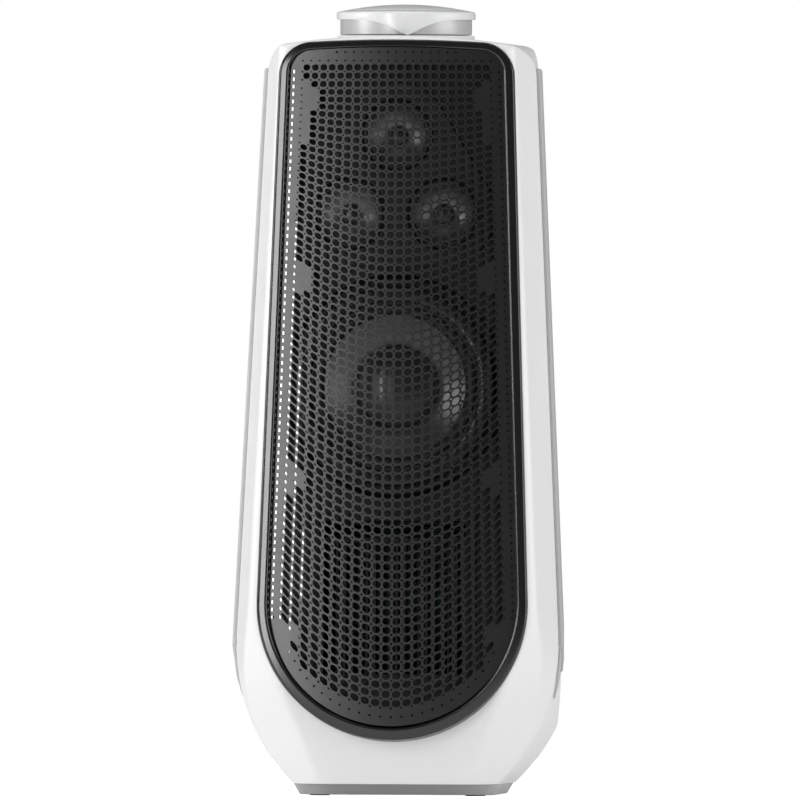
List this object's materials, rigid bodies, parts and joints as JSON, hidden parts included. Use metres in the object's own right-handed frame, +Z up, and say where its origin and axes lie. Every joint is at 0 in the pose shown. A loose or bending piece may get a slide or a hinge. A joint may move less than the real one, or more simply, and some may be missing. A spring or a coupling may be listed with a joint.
{
  "type": "active tower loudspeaker",
  "caption": "White tapered tower loudspeaker with a leaning black perforated front, cone drivers, slatted port and a round volume dial on top.",
  "frame": {"origin": "on the floor under the middle of the loudspeaker's box", "axes": "+Z up, the front and its grille face -Y, +X to the right as seen from the front"},
  "size_m": [0.2916, 0.2681, 0.69],
  "materials": {
    "white_shell": "satin gloss moulding",
    "rail_grey": "fine satin moulding",
    "foot_grey": "satin moulding",
    "black_gloss": "polished black moulding",
    "black_satin": "fine textured moulding",
    "grille_steel": "powder coated perforated sheet",
    "light_white": "translucent diffuser",
    "cone_black": "pressed satin cone",
    "surround_rubber": "moulded rubber",
    "gasket_foam": "closed cell foam",
    "wool_foam": "damping wadding",
    "spider_cloth": "resin treated cloth",
    "ferrite": "sintered ferrite",
    "steel": "plated steel",
    "aluminium_black": "black anodised",
    "aluminium_coil": "coil former",
    "dial_white": "satin gloss moulding",
    "dial_neck_metal": "polished collar",
    "brass": "turned bush",
    "board_green": "circuit board",
    "screw_black": "black zinc"
  },
  "bodies": {
    "cabinet": {"front_shell": "white_shell", "rear_shell": "white_shell", "side_rail_left": "rail_grey", "side_rail_right": "rail_grey", "base_foot": "foot_grey", "rubber_feet": "surround_rubber", "woofer_surround": "surround_rubber", "mid_surround_top": "surround_rubber", "mid_surround_left": "surround_rubber", "mid_surround_right": "surround_rubber", "bezel_ring": "black_gloss", "rocker_frame": "black_gloss", "grille": "grille_steel", "light_guide": "light_white", "status_light": "light_white", "baffle": "black_satin", "driver_trim_plate": "black_satin", "port_louvre": "black_satin", "port_duct": "black_satin", "rear_panel": "black_satin", "dial_encoder": "black_satin", "inlet_socket": "black_satin", "input_jacks": "black_satin", "mid_basket_top": "black_satin", "mid_basket_left": "black_satin", "mid_basket_right": "black_satin", "woofer_trim_ring": "black_satin", "baffle_gasket": "gasket_foam", "damping_foam": "wool_foam", "woofer_spider": "spider_cloth", "woofer_magnet": "ferrite", "mid_magnet_top": "ferrite", "mid_magnet_left": "ferrite", "mid_magnet_right": "ferrite", "woofer_yoke": "steel", "woofer_basket": "aluminium_black", "heat_sink": "aluminium_black", "dial_bush": "brass", "amplifier_board": "board_green", "power_supply": "board_green", "panel_screws": "screw_black", "driver_screws": "screw_black", "case_screws": "screw_black"},
    "woofer_moving": {"woofer_cone": "cone_black", "woofer_dust_cap": "cone_black", "woofer_coil": "aluminium_coil"},
    "mid_top_moving": {"mid_cone_top": "cone_black", "mid_dome_top": "cone_black"},
    "mid_left_moving": {"mid_cone_left": "cone_black", "mid_dome_left": "cone_black"},
    "mid_right_moving": {"mid_cone_right": "cone_black", "mid_dome_right": "cone_black"},
    "volume_dial": {"dial_cap": "dial_white", "dial_neck": "dial_neck_metal", "dial_shaft": "steel"},
    "rocker": {"power_rocker": "black_satin"},
    "gain": {"gain_knob": "black_satin"},
    "tone": {"tone_knob": "black_satin"},
    "pairing": {"pairing_button": "black_satin"},
    "mode": {"mode_button": "black_satin"}
  },
  "joints": [
    {"name": "woofer_travel", "type": "slide", "parent": "cabinet", "child": "woofer_moving", "axis": [0, -0.9986, 0.0523], "range_m": [-0.005, 0.005], "stiffness_N_per_m": 1800, "deforming": ["woofer_surround", "woofer_spider"]},
    {"name": "mid_top_travel", "type": "slide", "parent": "cabinet", "child": "mid_top_moving", "axis": [0, -0.9986, 0.0523], "range_m": [-0.0012, 0.0012], "stiffness_N_per_m": 900, "deforming": ["mid_surround_top"]},
    {"name": "mid_left_travel", "type": "slide", "parent": "cabinet", "child": "mid_left_moving", "axis": [0, -0.9986, 0.0523], "range_m": [-0.0012, 0.0012], "stiffness_N_per_m": 900, "deforming": ["mid_surround_left"]},
    {"name": "mid_right_travel", "type": "slide", "parent": "cabinet", "child": "mid_right_moving", "axis": [0, -0.9986, 0.0523], "range_m": [-0.0012, 0.0012], "stiffness_N_per_m": 900, "deforming": ["mid_surround_right"]},
    {"name": "dial_turn", "type": "hinge", "parent": "cabinet", "child": "volume_dial", "pos_m": [0, -0.005, 0.67], "axis": [0, 0, 1], "range_deg": [-150, 150]},
    {"name": "rocker_tilt", "type": "hinge", "parent": "cabinet", "child": "rocker", "pos_m": [0.052, 0.11237, 0.15793], "axis": [-1, 0, 0], "range_deg": [-9, 9]},
    {"name": "gain_turn", "type": "hinge", "parent": "cabinet", "child": "gain", "pos_m": [-0.055, 0.10672, 0.38995], "axis": [0, 0.9986, 0.0523], "range_deg": [-140, 140]},
    {"name": "tone_turn", "type": "hinge", "parent": "cabinet", "child": "tone", "pos_m": [-0.055, 0.10881, 0.35001], "axis": [0, 0.9986, 0.0523], "range_deg": [-140, 140]},
    {"name": "pairing_press", "type": "slide", "parent": "cabinet", "child": "pairing", "axis": [0, -0.9986, -0.0523], "range_m": [0, 0.0015], "stiffness_N_per_m": 400},
    {"name": "mode_press", "type": "slide", "parent": "cabinet", "child": "mode", "axis": [0, -0.9986, -0.0523], "range_m": [0, 0.0015], "stiffness_N_per_m": 400}
  ]
}
